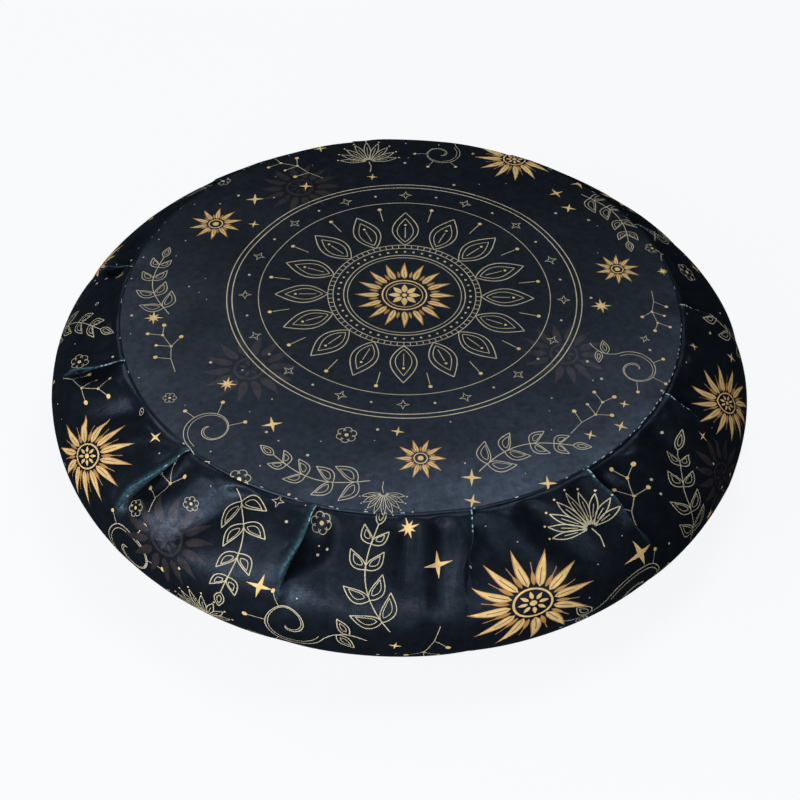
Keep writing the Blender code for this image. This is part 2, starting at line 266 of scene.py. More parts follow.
def fold_height(pleat, cloth, down, tuck, softness):
    """How far a fold lifts the band: proud on its left, with a trough on its right."""
    side = (1 - np.tanh(cloth / softness)) / 2
    shown = SEAM_SHARE + (1 - SEAM_SHARE) * smooth(down / RISE_REACH)
    shown *= 1 - smooth((down / pleat["length"] - FADE_FROM) / FADE_OVER)
    lift = pleat["stand"] * side * hump(cloth / LIFT_REACH)
    covered = np.maximum(tuck / softness, 1.0)
    edge = tuck * np.sqrt(1 - 1 / covered) - softness * np.arccosh(np.sqrt(covered))
    beside = np.maximum(cloth - tuck - edge, 0)
    trough = pleat["dip"] * (1 - side) * hump(beside / TROUGH_REACH)
    upper = shown * (lift - trough * smooth(down / SEAM_EASE))
    below = BAND_WIDTH - down
    shown = smooth(below / SEAM_EASE) * (1 - smooth((below - HEM_FULL) / HEM_FADE))
    lower = -HEM_SHARE * pleat["stand"] * shown * hump(cloth / HEM_TROUGH)
    return np.where(down > EQUATOR_DOWN, lower, upper)


def pucker_height(angle, down):
    """How far the soft puckers lift the band."""
    total = np.zeros_like(down)
    for at, drift, width, height, length in PUCKERS:
        across = turned(angle - at - drift * down / EQUATOR_DOWN) / width
        fade = 1 - smooth((down / length - PUCKER_FADE_FROM) / PUCKER_FADE_OVER)
        total += height * smooth(down / SEAM_EASE) * fade * hump(across)
    return total


def fold_softness(pleat, tuck, down):
    """How gently the cloth turns in a fold: tight near the top seam, open further down."""
    opened = smooth((down / pleat["length"] - OPEN_FROM) / OPEN_OVER)
    upper = FOLD_SOFTNESS + (FOLD_OPENING - FOLD_SOFTNESS) * opened
    lower = np.maximum(FOLD_OPENING, OPEN_ROOM * tuck)
    return np.where(down > EQUATOR_DOWN, lower, upper)


def tucked(pleat, half, radius, down):
    """How far the cloth is drawn across on each side of a fold, and how gently it turns."""
    loose = pleat["spare"] * smooth(down / RISE_REACH)
    loose = loose * (1 - smooth(down / pleat["length"] - LOOSE_UNTIL))
    tuck = (EQUATOR_RADIUS - radius) * half + loose
    return loose, tuck, fold_softness(pleat, tuck, down)


def folded_edge(tuck, softness):
    """The cloth between a pleat's middle and its folded edge, less than zero to its left."""
    return -softness * np.arccosh(np.sqrt(np.maximum(tuck / softness, 1.0)))


def fold_line(pleat, down):
    """Where the folded edge runs on the cloth, for pleats that are evenly spaced."""
    radius = np.interp(down, outline[0], outline[1])
    loose, tuck, softness = tucked(pleat, math.pi / len(pleats), radius, down)
    return folded_edge(tuck, softness)


def band_column(index, cloth, down):
    """Points down the band with this much cloth between them and the fold of a pleat, and how
    much of the folded edge's teal each shows: rubbed pile and painted sheen."""
    pleat = pleats[index]
    other = pleats[(index + 1) % len(pleats)] if cloth > 0 else pleats[index - 1]
    radius, height, out, up = [np.interp(down, outline[0], row) for row in outline[1:]]
    half = math.radians(angle_between(pleat, other)) / 2
    reach = half * EQUATOR_RADIUS
    share = abs(cloth) / reach
    loose, tuck, softness = tucked(pleat, half, radius, down)
    eased = (EQUATOR_RADIUS - radius) * cloth / EQUATOR_RADIUS + loose * cloth / reach
    folded = eased - tuck * np.tanh(cloth / softness) / np.tanh(reach / softness)
    drift = pleat["drift"] + (other["drift"] - pleat["drift"]) * 0.5 * smooth(share)
    flat = pleat["angle"] + math.degrees(cloth / EQUATOR_RADIUS)
    angle = np.radians(flat + drift * smooth(down / EQUATOR_DOWN)) + folded / radius
    lift = fold_height(pleat, cloth, down, tuck, softness) + pucker_height(flat, down)
    lift = lift - SEAM_DRAW * hump(down / SEAM_DRAW_REACH)
    lift = lift - HEM_DRAW * hump((BAND_WIDTH - down) / HEM_DRAW_REACH)
    beside = cloth - folded_edge(tuck, softness)
    near = 1 - smooth((down / pleat["length"] - ROLL_FROM) / ROLL_OVER)
    # The roll stays on the outer layer, clear of the cloth that is folded under it.
    roll = hump(beside / np.where(beside > 0, ROLL_BACK, ROLL_WIDTH))
    roll = roll - HOLLOW_SHARE * hump((beside + HOLLOW_BESIDE) / HOLLOW_WIDTH)
    lift = lift + ROLL_SHARE * pleat["stand"] * roll * near * smooth(down / ROLL_RISE)
    # The teal share of the folded edge: partly rubbed pile, partly a painted sheen.
    worn_and_sheen_width = max(WORN_AND_SHEEN_WIDTH * (pleat["stand"] / PROUDEST) ** 2, LEAST_WORN_AND_SHEEN)
    worn_and_sheen = near * hump(beside / worn_and_sheen_width)
    radius = radius + lift * out
    height = np.maximum(height + lift * up, FLOOR_CLEARANCE)
    return np.stack([*polar(radius, angle), height, worn_and_sheen], axis=1)


# Cloth in mm between a fold and the columns beside it, the widest step between columns beyond
# them, and the distances of the rows from the top seam.
FOLD_STEPS = (0.5, 1.0, 1.5, 2.0, 2.6, 3.3, 4.1, 5.0, 6.0, 7.2, 8.6, 10.2, 12.0)
WIDEST_STEP = 3.2
BAND_ROWS = [0, 0.8, 1.6, 2.4, 3.4, 4.6, 6, 7.6, 9.4] + [11.4 + 2.65 * n for n in range(50)]
LEAST_ROW = 1.5


def band_columns():
    """(pleat, cloth in mm) across the whole strip, closest together beside the folds."""
    columns = []
    for index, pleat in enumerate(pleats):
        for side in (-1, 1):
            other = pleats[(index + side) % len(pleats)]
            half = strip_at(angle_between(pleat, other)) / 2
            last = FOLD_STEPS[-1]
            count = math.ceil((half - last) / WIDEST_STEP)
            wide = [last + (half - last) * n / count for n in range(1, count + 1)]
            steps = list(FOLD_STEPS) + wide
            if side < 0:
                columns += [(index, -step) for step in reversed(steps)] + [(index, 0.0)]
            else:
                columns += [(index, step) for step in steps[:-1]]
    return columns


def band_surface():
    """The lines of the flat band in mm, and a point for each crossing with its share of teal
    folded edge: rubbed pile and painted sheen.
    """
    columns = band_columns()
    strip = [strip_at(pleats[i]["angle"]) + cloth for i, cloth in columns]
    strip = [strip[0] + (value - strip[0]) % GIRTH for value in strip]
    width = BAND_WIDTH * 1000
    down = [row for row in BAND_ROWS if row < width - LEAST_ROW] + [width]
    lines = np.array(down) / 1000
    grid = np.stack([band_column(i, cloth / 1000, lines) for i, cloth in columns])
    strip.append(strip[0] + GIRTH)
    grid = np.concatenate([grid, grid[:1]])
    return np.array(strip), np.array(down), grid


# The cloth simulation of the band
SETTLING_FRAMES = 20
# Light, nearly limp velour with the filling's pressure behind it.
CLOTH_SETTINGS = {
    "quality": 5,
    "mass": 0.01,
    "tension_stiffness": 30,
    "compression_stiffness": 30,
    "shear_stiffness": 6,
    "bending_stiffness": 0.05,
    "tension_damping": 5,
    "compression_damping": 5,
    "shear_damping": 5,
    "bending_damping": 0.5,
    "air_damping": 2,
    "vertex_group_mass": "sewn",
    "pin_stiffness": 10,
    "use_pressure": True,
    "uniform_pressure_force": 5.0,
}
CONTACT = 0.001
# The unpleated tube is this much wider at the top seam, down to this share of the upper half.
TOP_FULLNESS, FULL_UNTIL = 0.08, 0.8
# The share of the movement that is kept at the back, and of the radius where that is reached.
QUIET_BACK, QUIET_REACH = 0.35, 0.8


def placed(name, data):
    """A new object in the scene."""
    item = bpy.data.objects.new(name, data)
    bpy.context.scene.collection.objects.link(item)
    return item


def plain_mesh(name, points, faces):
    data = bpy.data.meshes.new(name)
    data.from_pydata(points, [], faces)
    return placed(name, data)


def level_square(name, half):
    """A square of the ground, this far from its middle to its sides."""
    corners = [(-half, -half, 0), (half, -half, 0), (half, half, 0), (-half, half, 0)]
    return plain_mesh(name, corners, [(0, 1, 2, 3)])


def unpleated(strip, down):
    """The band's cloth before it is pleated: a tube, a little wider along the top seam."""
    angle = strip[:-1, None] / 1000 / EQUATOR_RADIUS
    wider = 1 + TOP_FULLNESS * np.clip(1 - down / (FULL_UNTIL * EQUATOR_DOWN), 0, 1)
    radius = EQUATOR_RADIUS * wider[None, :]
    height = np.broadcast_to(BAND_WIDTH - down, (len(strip) - 1, len(down)))
    return np.stack([*polar(radius, angle), height], axis=2)


def settled(strip, down, grid):
    """The band's grid after the filling has pushed its pleated cloth out, sewn at both seams."""
    places = grid[:-1, :, :3]
    across, along = places.shape[:2]
    number = np.arange(across * along).reshape(across, along)
    after = np.roll(number, -1, axis=0)
    sides = (number[:, :-1], number[:, 1:], after[:, 1:], after[:, :-1])
    faces = np.stack(sides, axis=2).reshape(-1, 4).tolist()
    item = plain_mesh("band_settling", places.reshape(-1, 3).tolist(), faces)
    item.shape_key_add(name="Pleated")
    rest = item.shape_key_add(name="Unpleated")
    rest.data.foreach_set("co", unpleated(strip, down / 1000).astype(np.float32).ravel())
    rest.value = 0
    sewn = item.vertex_groups.new(name="sewn")
    sewn.add(number[:, [0, -1]].ravel().tolist(), 1.0, "REPLACE")
    cloth = item.modifiers.new("Cloth", "CLOTH")
    for setting, value in CLOTH_SETTINGS.items():
        setattr(cloth.settings, setting, value)
    cloth.settings.rest_shape_key = rest
    cloth.settings.effector_weights.gravity = 0
    cloth.collision_settings.distance_min = CONTACT
    cloth.point_cache.frame_end = SETTLING_FRAMES
    ground = level_square("settling_floor", 1.0)
    ground.modifiers.new("Collision", "COLLISION")
    ground.collision.thickness_outer = CONTACT
    for frame_number in range(1, SETTLING_FRAMES + 1):
        bpy.context.scene.frame_set(frame_number)
    shaped = item.evaluated_get(bpy.context.evaluated_depsgraph_get())
    found = np.zeros(across * along * 3, np.float32)
    shaped.data.vertices.foreach_get("co", found)
    found = level_swelling(places, found.reshape(across, along, 3).astype(float))
    for helper in (item, ground):
        bpy.data.objects.remove(helper)
    bpy.context.scene.frame_set(1)
    grid = grid.copy()
    grid[:-1, :, :3] = found
    grid[-1] = grid[0]
    return grid


def level_swelling(places, found):
    """The settled points without the even part of their swelling, and quieter at the back."""
    moves = found - places
    outward = unit(places[:, :, :2])
    swelling = (moves[:, :, :2] * outward).sum(axis=2).mean(axis=0)
    moves[:, :, :2] -= swelling[None, :, None] * outward
    moves[:, :, 2] -= moves[:, :, 2].mean(axis=0)[None, :]
    behind = smooth(places[:, :, 1] / places[:, :, 1].max() / QUIET_REACH)
    shaped = places + moves * (1 - (1 - QUIET_BACK) * behind)[:, :, None]
    shaped[:, :, 2] = np.maximum(shaped[:, :, 2], FLOOR_CLEARANCE)
    return shaped


def crown_height(x, y):
    """Height of the top panel's upper face, in metres."""
    share = np.minimum(np.hypot(x, y) / TOP_SEAM_RADIUS, 1.0)
    height = TOP_SEAM_HEIGHT + CROWN * (1 - share**CROWN_POWER)
    for middle_x, middle_y, width, length, turn, depth in DENTS:
        east, north = x - middle_x, y - middle_y
        cosine, sine = math.cos(math.radians(turn)), math.sin(math.radians(turn))
        along = (east * cosine + north * sine) / length
        across = (north * cosine - east * sine) / width
        height -= depth * hump(along) * hump(across) * (1 - share**DENT_RIM_POWER)
    return height


# The top panel's rim, in mm of its flat cloth, is rolled down by most of a quarter turn.
RIM_START = 158.8
RIM_RADIUS = 1.3
RIM_END = RIM_START + 1.45 * RIM_RADIUS
# Beside each pleat the rim is pushed up and drawn down: degrees from it, width, metres.
RIM_PUCKERS = ((-3.0, 3.6, 0.0005), (3.5, 3.0, -0.0004))
RIM_PUCKER_REACH = 9.0


def top_surface(flat):
    """The top panel's points in metres, from its flat cloth in mm, with the rim rolled down."""
    x, y = flat[:, 0], flat[:, 1]
    far = np.hypot(x, y)
    turn = np.clip((far - RIM_START) / RIM_RADIUS, 0, None)
    radius = np.minimum(far, RIM_START) + RIM_RADIUS * np.sin(turn)
    angle = np.arctan2(y, x)
    x, y = polar(radius / 1000, angle)
    height = crown_height(x, y) - RIM_RADIUS / 1000 * (1 - np.cos(turn))
    for beside, width, lift in RIM_PUCKERS:
        for pleat in pleats:
            across = turned(np.degrees(angle) - pleat["angle"] - beside) / width
            height += lift * hump(across) * hump((far - RIM_START) / RIM_PUCKER_REACH)
    return np.stack([x, y, height], axis=1)


# The pile of the top is brushed at its rim, and less by this share this many mm to the back.
RIM_POWER = 4
SMOOTH_BACK, SMOOTH_REACH = 0.9, 130


def brushed_rim(flat):
    """How far the top's pile is brushed up: at the rim, and least at the back."""
    share = np.hypot(flat[:, 0], flat[:, 1]) / (1000 * TOP_SEAM_RADIUS)
    return share**RIM_POWER * (1 - SMOOTH_BACK * smooth(flat[:, 1] / SMOOTH_REACH))


# The pile of the band is brushed round this angle, and fades out below the widest ring.
BRUSHED_AT, BRUSHED_WIDTH = -155, 30
BRUSHED_END, BRUSHED_FADE = EQUATOR_DOWN * 1000 + 24, 60


def brushed_folds(flat):
    """How far the band's pile is brushed up: most on the left, above the widest ring."""
    across = (turned(np.degrees(flat[:, 0] / STRIP_RADIUS)) - BRUSHED_AT) / BRUSHED_WIDTH
    return hump(across) * smooth((BRUSHED_END - flat[:, 1]) / BRUSHED_FADE)


# The base's rim, in mm of its cloth, and its rise to the hem and above the floor, in metres.
BASE_RIM, BASE_RIM_WIDTH = 145, 7.0
BASE_RISE, BASE_CLEARANCE = 0.0026, 0.0002


def base_surface(flat):
    """The flat underside's points in metres, with its rim turned up to the hem."""
    x, y = flat[:, 0], flat[:, 1]
    lifted = BASE_RISE * smooth((np.hypot(x, y) - BASE_RIM) / BASE_RIM_WIDTH) ** 2
    return np.stack([x / 1000, y / 1000, BASE_CLEARANCE + lifted], axis=1)


# The print: every motif is a list of (ink, convex polygon) in millimetres


def line(points, width=THIN, ink=CREAM, closed=False):
    """A drawn line of this width, as one four-sided polygon for each step."""
    points = np.array(points, float)
    ahead = np.roll(points, -1, axis=0) - points
    behind = points - np.roll(points, 1, axis=0)
    if not closed:
        ahead[-1], behind[0] = behind[-1], ahead[0]
    ahead = unit(ahead)
    middle = unit(ahead + unit(behind))
    open_by = np.maximum((middle * ahead).sum(axis=1), 0.6)
    side = np.stack([-middle[:, 1], middle[:, 0]], axis=1) * (width / 2 / open_by)[:, None]
    left, right = points + side, points - side
    count = len(points) if closed else len(points) - 1
    shapes = []
    for here in range(count):
        there = (here + 1) % len(points)
        shapes.append((ink, np.array([right[here], right[there], left[there], left[here]])))
    return shapes


def arc(radius, start, end, steps, centre=(0, 0)):
    """Points of an arc. The angles are in degrees."""
    angles = np.radians(np.linspace(start, end, steps + 1))
    return np.stack(polar(radius, angles), axis=1) + centre


def circle(radius, width=THIN, ink=CREAM, centre=(0, 0)):
    steps = max(16, int(2 * math.pi * radius / 2.6))
    return line(arc(radius, 0, 360, steps, centre)[:-1], width, ink, closed=True)


def dot(radius, ink=GOLD, centre=(0, 0)):
    steps = 8 if radius < 1.3 else 14
    return [(ink, arc(radius, 0, 360, steps, centre)[:-1])]


def star(tips, outer, inner, ink=GOLD, short=1.0):
    """A star whose every other tip reaches only this share of the outer radius."""
    shapes = []
    for tip in range(tips):
        angle = math.radians(90 + 360 * tip / tips)
        reach = outer * (short if tip % 2 else 1.0)
        beside = math.pi / tips
        corners = [(0, 0)]
        for radius, at in ((inner, angle - beside), (reach, angle), (inner, angle + beside)):
            corners.append(polar(radius, at))
        shapes.append((ink, np.array(corners)))
    return shapes


def leaf_sides(start, length, width, fullest=0.42, bend=0.0, steps=9):
    """Left and right outlines of a pointed leaf that runs along +x."""
    t = np.linspace(0, 1, steps)
    power = math.log(0.5) / math.log(fullest)
    half = width / 2 * np.sin(math.pi * t**power)
    x = start + length * t
    middle = bend * length * np.sin(math.pi * t)
    return np.stack([x, middle + half], axis=1), np.stack([x, middle - half], axis=1)


def leaf(start, length, width, ink=GOLD, fullest=0.42, bend=0.0, steps=9):
    """A filled leaf or petal."""
    left, right = leaf_sides(start, length, width, fullest, bend, steps)
    shapes = []
    for here in range(steps - 1):
        corners = [right[here], right[here + 1], left[here + 1], left[here]]
        if here == 0:
            corners = corners[:-1]
        elif here == steps - 2:
            corners = [corners[0], corners[1], corners[3]]
        shapes.append((ink, np.array(corners)))
    return shapes


def leaf_outline(start, length, width, line_width=THIN, fullest=0.42, bend=0.0):
    """A leaf drawn as a line down either side."""
    left, right = leaf_sides(start, length, width, fullest, bend, 13)
    return line(left, line_width) + line(right, line_width)


def drawn_leaf(length, width, inset, inner, inner_width, **bends):
    """A leaf drawn with two lines: its outline, and a smaller leaf inside it."""
    outside = leaf_outline(0, length, width, THIN, **bends)
    return outside + leaf_outline(inset, inner, inner_width, HAIR, **bends)


def moved(shapes, x=0.0, y=0.0, turn=0.0, scale=1.0):
    """The shapes scaled, turned by degrees and moved."""
    angle = math.radians(turn)
    spin = np.array([[math.cos(angle), math.sin(angle)], [-math.sin(angle), math.cos(angle)]])
    return [(ink, corners * scale @ spin + (x, y)) for ink, corners in shapes]


def around(shapes, count, turn=0.0):
    """Copies of the shapes round the origin."""
    copies = []
    for step in range(count):
        copies += moved(shapes, turn=turn + 360 * step / count)
    return copies


def daisy(size=1.0):
    """A small drawn flower: six round petals and a filled eye."""
    round_petal = line(arc(3.0, -118, 118, 10, (4.6, 0)), HAIR + 0.1)
    return moved(around(round_petal, 6) + dot(1.5), scale=size)


def petal(start, length, width, fullest=0.30, bend=0.035):
    """A slender petal with an amber edge and a vein of bare cloth."""
    shapes = leaf(start, length, width, AMBER, fullest, bend, 11)
    shapes += leaf(start + 0.3, length - 2.4, width - 0.9, GOLD, fullest, bend, 11)
    t = np.linspace(0.06, 0.50, 6)
    vein = np.stack([start + length * t, bend * length * np.sin(math.pi * t)], axis=1)
    return shapes + line(vein, 0.36, CLOTH)


def bloom(petals, inner, outer, width):
    """A filled flower of slender pointed petals, with a short one between each two."""
    short_petal = leaf(inner * 1.06, (outer - inner) * 0.40, width * 0.44, AMBER)
    shapes = moved(around(short_petal, petals), turn=180 / petals)
    return shapes + around(petal(inner, outer - inner, width), petals)


def big_bloom(size=1.0):
    """A flower about 66 mm across, with a ring of seeds round its eye."""
    shapes = bloom(12, 10.0, 33.0, 5.0) + circle(8.9, 1.1, GOLD)
    shapes += moved(around(line([(18.5, 0), (24.5, 0)], HAIR, AMBER), 12), turn=15)
    shapes += around(leaf(2.6, 4.6, 2.0), 8) + dot(1.7)
    return moved(shapes, scale=size)


def small_bloom(size=1.0):
    """A flower about 36 mm across."""
    shapes = bloom(10, 5.6, 18.0, 3.5) + circle(4.6, 0.8, GOLD) + dot(2.1)
    return moved(shapes, scale=size)


def ghost_bloom(size=1.0):
    """A faint brown flower about 54 mm across."""
    shapes = around(leaf(10.5, 16.5, 5.0, GHOST, 0.32, 0.05), 14) + circle(8.4, 1.6, GHOST)
    shapes += around(leaf(2.0, 5.0, 2.0, GHOST), 7)
    return moved(shapes, scale=size)


SPRIG_PAIRS, SPRIG_BEND = 4, 0.16


def sprig(size=1.0):
    """A leafy stem about 66 mm long, its leaves drawn with two lines."""
    t = np.linspace(0, 1, 19)
    stem = np.stack([66 * t - 33, 66 * SPRIG_BEND * np.sin(math.pi * t)], axis=1)
    shapes = line(stem)
    for pair in range(SPRIG_PAIRS):
        at = 2 + round(pair * 13 / (SPRIG_PAIRS - 1))
        x, y = stem[at]
        slope = math.degrees(math.atan2(*(stem[at + 1] - stem[at])[::-1]))
        long = 19.0 - 2.2 * pair
        for side in (-1, 1):
            bends = {"fullest": 0.40, "bend": side * 0.10}
            drawn = drawn_leaf(long, long * 0.46, 3.2, long - 6.4, long * 0.24, **bends)
            shapes += moved(drawn, x, y, slope + side * (46 - 3 * pair))
    shapes += moved(drawn_leaf(12, 5.6, 2.4, 7.0, 2.6), *stem[-1], turn=-24)
    return moved(shapes, scale=size)


def scroll(size=1.0):
    """A curling tendril about 60 mm long, drawn with two lines, with round buds."""
    t = np.linspace(0, 1, 40)
    reach = 21 * (1 - 0.82 * t)
    angle = np.radians(200 - 470 * t)
    curl = np.stack(polar(reach, angle), axis=1)
    inner = curl * 0.88 + np.array([0.6, -0.4])
    tail = np.array([(-19.7 - 17 * u * u, -7.2 - 30 * u + 12 * u * u) for u in np.linspace(0, 1, 12)])
    shapes = line(curl) + line(inner, HAIR) + line(tail)
    for at, radius in ((8, 27.5), (13, 27.0), (18, 25.0)):
        foot, far = curl[at], curl[at] / np.linalg.norm(curl[at]) * radius
        shapes += line([foot, far], HAIR) + moved(dot(1.5), *far)
    shapes += moved(drawn_leaf(15, 7, 3, 9, 3), *tail[4], turn=170)
    shapes += moved(drawn_leaf(13, 6, 3, 7, 2.6), *tail[7], turn=-20)
    return moved(shapes, scale=size)


# Twigs in mm: from x and y, to x and y, and the radius of the berry there.
BERRIES = (
    (0, -22, 1, -9, 0.0),
    (1, -9, 5, 3, 1.1),
    (5, 3, 3, 16, 1.1),
    (3, 16, 7, 25, 1.5),
    (1, -9, -8, -3, 1.5),
    (5, 3, 14, 9, 1.5),
    (3, 16, -6, 21, 1.3),
    (5, 3, -4, 8, 1.2),
)


def berries(size=1.0):
    """A thin branching twig with berries, about 50 mm long."""
    shapes = []
    for from_x, from_y, x, y, radius in BERRIES:
        shapes += line([(from_x, from_y), (x, y)], HAIR)
        if radius:
            shapes += moved(dot(radius), x, y)
    return moved(shapes, scale=size)


def fern(size=1.0):
    """A fan of slender drawn leaves on a short stem, about 44 mm across."""
    shapes = line([(0, -13), (1.2, -6), (0, 0)])
    for step in range(9):
        long = 23.0 - 1.4 * abs(step - 4)
        blade = leaf_outline(2.5, long, 4.4, fullest=0.55)
        blade += line([(7, 0), (long - 4, 0)], HAIR)
        shapes += moved(blade + moved(dot(0.7), x=long + 4.4), turn=10 + 20 * step)
    return moved(shapes, scale=size)


def four_star(size=1.0):
    return star(4, 6.0 * size, 1.4 * size)


def eight_star(size=1.0):
    return star(8, 7.0 * size, 2.2 * size, short=0.72)


def open_star(size=1.0):
    """A small four-pointed star drawn as an outline."""
    angles = np.radians(np.arange(8) * 45 + 90)
    reach = np.where(np.arange(8) % 2, 1.5, 4.4) * size
    return line(np.stack(polar(reach, angles), axis=1), HAIR, closed=True)


def small_ring(size=1.0):
    return circle(2.6 * size, HAIR) + dot(0.7 * size, CREAM)


# How much room each small motif takes, as a radius in mm at size 1.
ROOM = {daisy: 9, four_star: 7, eight_star: 8, open_star: 5, small_ring: 4}
SMALL_MOTIFS = (four_star, open_star, daisy, small_ring, four_star, eight_star)
# In mm, the room of a dot, the gap round everything and the radii of dots. Then the sizes of
# the small motifs, and how many degrees they lean.
DOT_ROOM, GAP = 1.0, 3.0
DOT_RADII = (0.35, 0.5, 0.9)
SMALL_SIZES = (0.5, 0.95)
LEAN = 20

WHEEL_X, WHEEL_Y = 2.0, 9.0
WHEEL_RADIUS = 101.0
# x and y in mm, turn in degrees, size.
TOP_MOTIFS = {
    ghost_bloom: ((-84, -52, 0, 1.0), (92, -36, 0, 0.9), (-60, 108, 0, 0.9)),
    big_bloom: ((66, 142, 0, 0.72),),
    small_bloom: ((-108, 76, 10, 0.86), (12, -122, 0, 0.80), (124, 40, 20, 0.74)),
    sprig: (
        (-42, -128, 160, 0.86), (70, -118, 24, 0.86), (-134, 22, 96, 0.76), (118, 88, -58, 0.76),
    ),
    scroll: ((-104, -98, 30, 0.78), (22, 144, 200, 0.60), (132, -44, -70, 0.70)),
    berries: (
        (-132, -34, 20, 0.84), (-62, 126, 60, 0.80), (104, -82, -30, 0.84), (146, 8, 190, 0.72),
    ),
    fern: ((-20, 134, 5, 0.84), (-8, -146, 180, 0.60)),
    eight_star: ((-140, -6, 0, 0.8), (114, 6, 10, 0.9)),
    four_star: ((90, 108, 30, 0.8), (-86, 98, 0, 0.9), (40, -134, 0, 1.0), (-70, -96, 10, 1.0)),
}

# Angle from +X in degrees, mm down from the top seam, turn in degrees, size.
BAND_MOTIFS = {
    big_bloom: (
        (-70, 58, 0, 0.96), (-150, 46, 10, 0.90), (-14, 40, 0, 0.80), (48, 52, 0, 0.90),
        (108, 48, 0, 0.86), (158, 54, 5, 0.86), (-102, 116, 0, 0.7), (14, 112, 0, 0.7),
        (134, 112, 0, 0.7),
    ),
    sprig: (
        (-120, 34, -70, 0.92), (-92, 36, 100, 0.92), (-36, 52, 60, 0.92), (4, 44, 95, 0.86),
        (30, 34, -60, 0.84), (78, 46, 80, 0.92), (134, 40, -80, 0.86), (180, 42, 80, 0.90),
    ),
    scroll: (
        (-134, 74, 30, 0.96), (-106, 70, 140, 0.94), (-54, 84, -40, 0.94), (-2, 82, 20, 0.9),
        (62, 92, 0, 0.9), (92, 84, 160, 0.9), (146, 84, 40, 0.9), (-172, 84, -30, 0.9),
    ),
    berries: (
        (-134, 26, 20, 0.9), (-84, 84, 170, 0.94), (-46, 26, -40, 0.92), (-24, 84, 60, 0.92),
        (18, 76, 10, 0.92), (64, 28, 70, 0.9), (122, 76, -20, 0.92), (-164, 30, -40, 0.9),
    ),
    fern: ((-58, 30, 0, 0.92), (-120, 92, 20, 0.86), (94, 30, 0, 0.9), (34, 86, 0, 0.9)),
    ghost_bloom: ((-128, 50, 0, 1.0), (-28, 60, 0, 1.0), (66, 60, 0, 1.0)),
    four_star: ((-84, 28, 10, 1.3), (-54, 56, 6, 1.6), (-112, 50, 0, 1.2)),
}


def wheel():
    """Rings round the middle of the top panel: petals, beads, ticks and a ring of drawn leaves."""
    shapes = bloom(16, 14.2, 28.5, 3.9) + circle(12.6, 0.8, GOLD) + circle(10.4, HAIR, GOLD)
    shapes += around(leaf(2.2, 7.0, 3.4, GOLD), 8) + dot(1.4)
    shapes += circle(32.4, HAIR) + circle(34.6, THIN)
    shapes += around(moved(dot(0.75, CREAM), x=37.6), 48) + circle(40.6, HAIR)
    shapes += around(line([(40.6, 0), (43.6, 0)], HAIR), 72) + circle(43.6, HAIR)
    long_leaf = leaf_outline(43.6, 30.0, 15.0, THIN, 0.46)
    long_leaf += leaf_outline(46.5, 21.5, 9.4, HAIR, 0.46)
    shapes += around(long_leaf, 16)
    shapes += around(line([(50, 0), (60, 0)], HAIR) + moved(dot(0.8), x=62), 16)
    shapes += around(line([(66.5, 0), (76, 0)], HAIR) + moved(dot(1.2), x=77.6), 16, 11.25)
    shapes += circle(83.0, HAIR)
    shapes += around(moved(open_star(0.8), x=90.6), 16)
    shapes += around(moved(dot(0.8, CREAM), x=90.6), 16, 11.25)
    return shapes + circle(98.0, THIN) + circle(WHEEL_RADIUS, THIN)


def scattered(shapes, place, motifs, dots, seed):
    """Small motifs, then dots, in the gaps between the shapes. place(random) gives a point."""
    picker = random.Random(seed)
    centres = np.array([corners.mean(axis=0) for ink, corners in shapes if ink != GHOST])
    rooms = np.zeros(len(centres))
    added = []
    for attempt in range(motifs + dots):
        motif = picker.choice(SMALL_MOTIFS) if attempt < motifs else None
        size = picker.uniform(*SMALL_SIZES)
        room = ROOM[motif] * size if motif else DOT_ROOM
        x, y = place(picker)
        if (np.hypot(*(centres - (x, y)).T) - rooms).min() < room + GAP:
            continue
        centres, rooms = np.vstack([centres, (x, y)]), np.append(rooms, room)
        if motif:
            added += moved(motif(size), x, y, picker.uniform(-LEAN, LEAN))
        else:
            added += moved(dot(picker.choice(DOT_RADII), CREAM), x, y)
    return added


def in_disc(radius, inner=0.0):
    """A function that picks a point in a disc, or in the part of it outside the wheel."""

    def place(picker):
        while True:
            far, angle = radius * math.sqrt(picker.random()), picker.uniform(-math.pi, math.pi)
            x, y = polar(far, angle)
            if math.hypot(x - WHEEL_X, y - WHEEL_Y) > inner:
                return x, y

    return place


def top_print():
    shapes = []
    for motif, places in TOP_MOTIFS.items():
        for x, y, turn, size in places:
            shapes += moved(motif(size), x, y, turn)
    shapes += moved(wheel(), WHEEL_X, WHEEL_Y)
    added = scattered(shapes, in_disc(164, WHEEL_RADIUS + 2), motifs=60, dots=160, seed=4)
    return shapes + added + seam_dashes()


# In mm: half the widest motif, the bare ends of the strip, and how far down motifs scatter.
WIDEST_MOTIF, END_GAP, SCATTER_DEPTH = 40, 8, 150


def band_print(strip):
    start, girth = strip[0], strip[-1] - strip[0]
    shapes = []
    for motif, places in BAND_MOTIFS.items():
        for angle, down, turn, size in places:
            x = start + (strip_at(angle) - start) % girth
            for copy in (x, x - girth, x + girth):
                if start - WIDEST_MOTIF < copy < start + girth + WIDEST_MOTIF:
                    # The strip's second coordinate runs down, so the motif is turned over.
                    shapes += moved(motif(size), copy, -down, turn)

    def place(picker):
        x = start + END_GAP + (girth - 2 * END_GAP) * picker.random()
        return x, -SCATTER_DEPTH * picker.random()

    shapes += scattered(shapes, place, motifs=150, dots=420, seed=9)
    turned_over = [(ink, corners[::-1] * (1, -1)) for ink, corners in shapes]
    return turned_over + fold_dashes(start, girth)


# The top's dashes: lengths and gaps in degrees, radii in mm, where most of them show.
SEAM_DASHES, SEAM_GAPS = (0.3, 1.0), (0.5, 1.6)
SEAM_RADII, SEAM_DASH_WIDTH = (159.0, 159.7), 0.42
DASHES_LEAST, DASHES_MORE, DASHES_AT, DASHES_WIDTH = 0.15, 0.75, -25, 38


